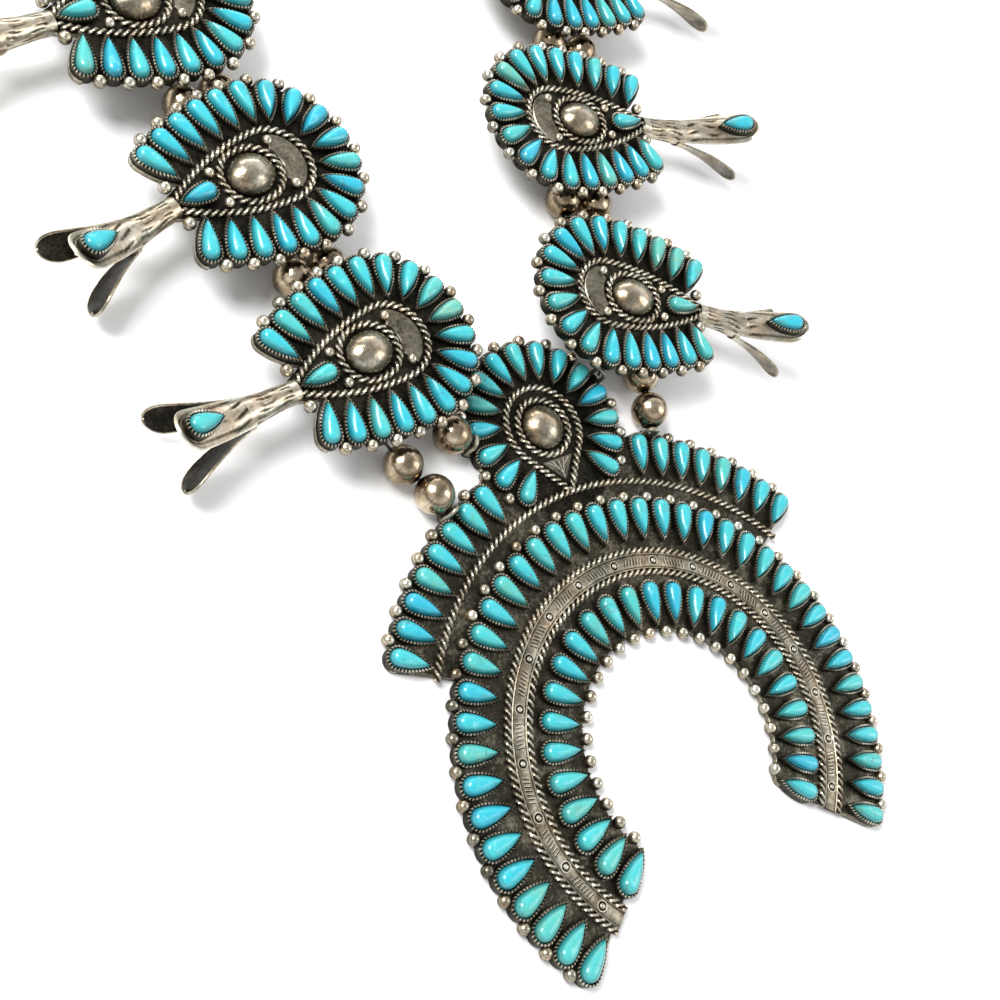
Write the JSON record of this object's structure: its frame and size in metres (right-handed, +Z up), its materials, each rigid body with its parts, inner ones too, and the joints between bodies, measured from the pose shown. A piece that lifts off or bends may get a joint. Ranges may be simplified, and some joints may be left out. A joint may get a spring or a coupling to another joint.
{
  "type": "squash blossom necklace",
  "caption": "Necklace laid flat: crescent pendant with rows of turquoise drops, blossom plates on a double string of silver beads.",
  "frame": {"origin": "on the flat back of the crescent, under the middle of its stamped band at the top of the arc", "axes": "+Y runs from the crescent along the necklace to the clasp, +X to the wearer's left as the necklace lies face up, +Z up out of its face; z = 0 is the surface it lies on"},
  "size_m": [0.1851, 0.304, 0.0164],
  "materials": {
    "dark_silver": "oxidised silver, dark in the hollows and bright on worn edges",
    "bead_silver": "polished silver with a warm brown tarnish",
    "turquoise": "polished turquoise with fine brown and grey veins",
    "thread": "dark twisted thread"
  },
  "bodies": {
    "root": {"naja": "dark_silver", "naja_outer_stones": "turquoise", "naja_wing_stones": "turquoise", "left_plate_1": "dark_silver", "left_plate_2": "dark_silver", "left_plate_3": "dark_silver", "right_plate_1": "dark_silver", "right_plate_2": "dark_silver", "right_plate_3": "dark_silver", "left_stones_1": "turquoise", "left_stones_2": "turquoise", "left_stones_3": "turquoise", "right_stones_1": "turquoise", "right_stones_2": "turquoise", "right_stones_3": "turquoise", "left_outer_beads": "bead_silver", "left_inner_beads": "bead_silver", "right_outer_beads": "bead_silver", "right_inner_beads": "bead_silver", "left_outer_thread": "thread", "left_inner_thread": "thread", "right_outer_thread": "thread", "right_inner_thread": "thread", "clasp_hook": "bead_silver", "clasp_eye": "bead_silver"}
  },
  "joints": []
}
